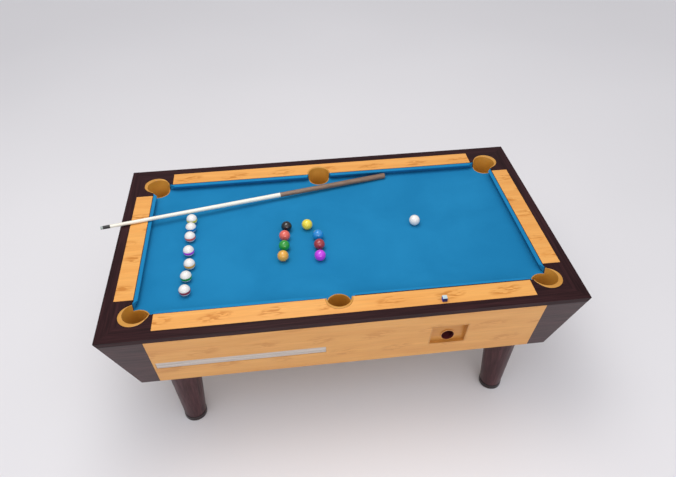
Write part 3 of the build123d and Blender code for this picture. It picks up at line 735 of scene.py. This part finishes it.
def cushion_piece(node):
    """A cloth covered rubber cushion with raked ends, in the space of its CAD solid."""
    low, high, run, across, side, back = cushion_place(node)
    depth = high[across] - low[across]
    start_rake, stop_rake = end_rake(run, low[run]), end_rake(run, high[run])
    section = cushion_section(depth)
    count = len(section)
    bm = bmesh.new()
    rings = []
    for k in range(CUSHION_STEPS + 1):
        t = 0.5 - 0.5 * math.cos(math.pi * k / CUSHION_STEPS)
        ring = []
        for reach, z in section:
            start = low[run] + start_rake * reach / depth
            stop = high[run] - stop_rake * reach / depth
            p = Vector((0, 0, BED_TOP + z))
            p[run] = start + (stop - start) * t
            p[across] = back - side * reach
            ring.append(bm.verts.new(p))
        rings.append(ring)
    for a, b in zip(rings, rings[1:]):
        for i in range(count):
            bm.faces.new((a[i], a[(i + 1) % count], b[(i + 1) % count], b[i]))
    bm.faces.new(rings[0])
    bm.faces.new(list(reversed(rings[-1])))
    bmesh.ops.recalc_face_normals(bm, faces=bm.faces)
    piece = finish_piece(f"{node}_cover", from_bmesh(bm, node), TABLE, BLUE_NOSE_LIT, 50.0)
    round_edges(piece, width=0.0015, segments=3, angle=45)
    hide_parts(node)


def painted_shadow_strip(node):
    """A dark strip between a cushion and its rail: a painted shadow line where the cushion meets the
    rail.
    """
    low, high, run, across, side, back = cushion_place(node)
    front = back - side * (WIDE_STRIP if node == "cushion_front_right" else STRIP_WIDTH)
    corner_a, corner_b = low.copy(), high.copy()
    corner_a[across], corner_b[across] = min(back, front), max(back, front)
    corner_a[run] += STRIP_SHORT
    corner_b[run] -= STRIP_SHORT
    corner_a.z, corner_b.z = high.z - STRIP_SINK, high.z + STRIP_RISE
    bm = box_shape(corner_a, corner_b)
    edges = [e for e in bm.edges if e.calc_face_angle(0) > SHARP_ANGLE]
    bmesh.ops.bevel(bm, geom=edges, offset=0.0004, segments=2, profile=0.6, affect="EDGES")
    finish_piece(f"{node}_painted_shadow_strip", from_bmesh(bm, node), TABLE, TOP_X_SHADED)


for node in sorted(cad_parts):
    if node.startswith("cushion"):
        cushion_piece(node)
        painted_shadow_strip(node)

# ---------------------------------------------------------------- bed cloth

# At a corner pocket the cloth is cut round the hole and straight out to the sides beyond it.
CORNER_NOTCH_R, SIDE_NOTCH_R = 0.06025, 0.0595
NOTCH_REACH = 0.045
CUT_DEPTH = 0.03
PAST_CLOTH_X, PAST_CLOTH_Y = 1.2, 0.7


def cloth_notches():
    """Helpers in the shape of the pockets' notches in the bed cloth."""
    below, above = BED_TOP - CUT_DEPTH, BED_TOP + CUT_DEPTH
    notches = []
    for sx, sy in CORNERS.values():
        x, y = sx * (CORNER_X - CORNER_SHIFT), sy * (CORNER_Y - CORNER_SHIFT)
        notches.append(helper(drum_shape(x, y, CORNER_NOTCH_R, below, above), "corner_notch"))
        for x0, y0 in ((x - sx * NOTCH_REACH, y), (x, y - sy * NOTCH_REACH)):
            x1, y1 = sx * PAST_CLOTH_X, sy * PAST_CLOTH_Y
            low = (min(x0, x1), min(y0, y1), below)
            high = (max(x0, x1), max(y0, y1), above)
            notches.append(helper(box_shape(low, high), "corner_clearing"))
    for sy in SIDES.values():
        y = sy * (SIDE_Y - SIDE_SHIFT)
        notches.append(helper(drum_shape(SIDE_X, y, SIDE_NOTCH_R, below, above), "side_notch"))
    return notches


cloth_low, cloth_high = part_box("bed_cloth")
cloth_slab = helper(box_shape(cloth_low, cloth_high), "cloth_slab")
cloth_mesh = combined(cloth_slab, [("DIFFERENCE", notch) for notch in cloth_notches()])
bed_cloth = finish_piece("bed_cloth_sheet", cloth_mesh, TABLE, BLUE, 30.0)
round_edges(bed_cloth, width=0.00045, segments=3, angle=50)
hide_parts("bed_cloth")

# ---------------------------------------------------------------- hidden structure keeps its CAD shape

for node, mat in (
    ("slate_bed", SLATE), ("slate_beams", BOARD), ("cabinet_floor", BOARD), ("bolts", STEEL),
    ("ball_trough", BOARD), ("ball_gutters", LINING),
):
    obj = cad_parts[node]
    obj.data.materials.clear()
    obj.data.materials.append(mat)

# ---------------------------------------------------------------- camera, floor and light


def studio_camera(at, yaw, pitch, roll, lens):
    """A camera that looks along +Y, turned right by yaw, down by pitch and then rolled, in radians."""
    flat = math.cos(pitch)
    forward = Vector((math.sin(yaw) * flat, math.cos(yaw) * flat, -math.sin(pitch)))
    level = Vector((math.cos(yaw), -math.sin(yaw), 0))
    raised = level.cross(forward)
    right = math.cos(roll) * level + math.sin(roll) * raised
    up = -math.sin(roll) * level + math.cos(roll) * raised
    data = bpy.data.cameras.new("camera")
    data.sensor_width = 36
    data.lens = lens
    data.clip_start = 0.05
    data.clip_end = 100
    obj = bpy.data.objects.new("camera", data)
    turn = Matrix((right, up, -forward)).transposed().to_4x4()
    obj.matrix_world = Matrix.Translation(at) @ turn
    scene.collection.objects.link(obj)
    return obj


def floor_material():
    """Matt studio floor, faintly cool and faintly uneven."""
    mat, nodes, links, shader = new_material("studio_floor")
    vector = place(nodes, links, (1.0, 1.0, 1.0))
    tone = noise_of(nodes, links, vector, 0.3, 2.0, 0.5)
    tones = [(0.3, (0.765, 0.765, 0.780)), (0.7, (0.805, 0.805, 0.820))]
    links.new(ramp_of(nodes, links, tone, tones), shader.inputs["Base Color"])
    shader.inputs["Roughness"].default_value = 0.8
    return mat


def studio_floor(reach):
    """A square floor that reaches that far each way."""
    mesh = bpy.data.meshes.new("floor")
    corners = [(x * reach, y * reach, 0) for x, y in ((-1, -1), (1, -1), (1, 1), (-1, 1))]
    mesh.from_pydata(corners, [], [(0, 1, 2, 3)])
    mesh.materials.append(floor_material())
    obj = bpy.data.objects.new("floor", mesh)
    scene.collection.objects.link(obj)
    return obj


def studio_world():
    """Soft light that is brightest above and in front of the table, and dim behind it."""
    world = bpy.data.worlds.new("studio")
    world.use_nodes = True
    nodes, links = world.node_tree.nodes, world.node_tree.links
    background = nodes["Background"]
    toward = nodes.new("ShaderNodeTexCoord")
    facing = nodes.new("ShaderNodeVectorMath")
    facing.operation = "DOT_PRODUCT"
    facing.inputs[1].default_value = (0.0, -0.50, 0.87)
    links.new(toward.outputs["Generated"], facing.inputs[0])
    glow = [(0.25, (0.30, 0.30, 0.31)), (0.60, (0.50, 0.495, 0.51)), (0.95, (1.02, 0.995, 1.03))]
    links.new(ramp_of(nodes, links, facing.outputs["Value"], glow), background.inputs["Color"])
    background.inputs["Strength"].default_value = 1.18
    return world


def area_light(name, at, target, size, power, colour):
    """A rectangular lamp at a point that faces a target, with its power in watts."""
    light = bpy.data.lights.new(name, "AREA")
    light.shape = "RECTANGLE"
    light.size, light.size_y = size
    light.energy = power
    light.color = colour
    obj = bpy.data.objects.new(name, light)
    obj.location = at
    obj.rotation_mode = "QUATERNION"
    obj.rotation_quaternion = (Vector(target) - Vector(at)).to_track_quat("-Z", "Y")
    scene.collection.objects.link(obj)


scene.camera = studio_camera(
    at=Vector((-0.2535, -2.4204, 2.8390)), yaw=0.1123, pitch=0.7140, roll=-0.0092, lens=31.94,
)
floor = studio_floor(reach=30)
scene.world = studio_world()
area_light("overhead", (-0.6, 0.4, 4.6), (0, 0, 0.7), (3.2, 2.2), 78, (1.0, 0.98, 0.96))
area_light("front_fill", (0.5, -5.5, 3.0), (0, 0, 0.5), (4.0, 2.0), 52, (1.0, 0.95, 1.0))
